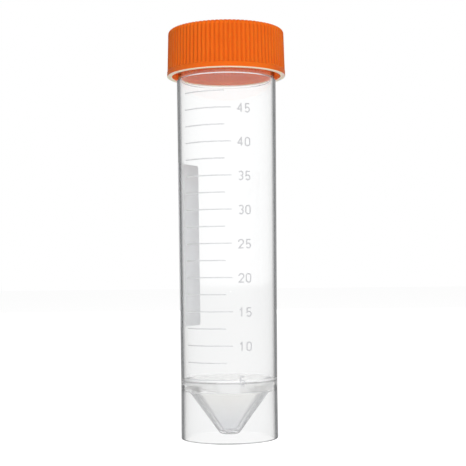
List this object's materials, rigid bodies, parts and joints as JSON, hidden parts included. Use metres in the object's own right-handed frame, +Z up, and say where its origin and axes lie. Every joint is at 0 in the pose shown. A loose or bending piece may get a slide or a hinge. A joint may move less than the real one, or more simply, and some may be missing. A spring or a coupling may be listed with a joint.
{
  "type": "self-standing conical tube",
  "caption": "Translucent self-standing conical tube with a skirted base, printed volume marks, a writing patch and a ribbed orange screw cap.",
  "frame": {"origin": "centre of the skirt's base, on the surface that the tube stands on", "axes": "+Z up along the tube's axis to the cap; -Y is the front, where the volume marks are read; +X is to the right of someone who reads them"},
  "size_m": [0.0344, 0.0344, 0.1181],
  "materials": {
    "clear_polypropylene": "smooth, slightly cloudy",
    "orange_polyethylene": "satin",
    "white_foam": "matt",
    "white_ink": "matt print"
  },
  "bodies": {
    "tube": {"tube": "clear_polypropylene", "graduation_marks": "white_ink", "graduation_numbers": "white_ink", "writing_patch": "white_ink"},
    "cap_liner": {"cap_liner": "white_foam"},
    "cap": {"cap": "orange_polyethylene"}
  },
  "joints": [
    {"name": "cap_rise", "type": "slide", "parent": "tube", "child": "cap_liner", "axis": [0, 0, 1], "range_m": [0, 0.00526]},
    {"name": "cap_turn", "type": "hinge", "parent": "cap_liner", "child": "cap", "pos_m": [0, 0, 0.1163], "axis": [0, 0, 1], "range_deg": [0, 540]}
  ],
  "couplings": [
    {"joint": "cap_rise", "follows": "cap_turn", "m_per_rad": 0.00055704}
  ]
}
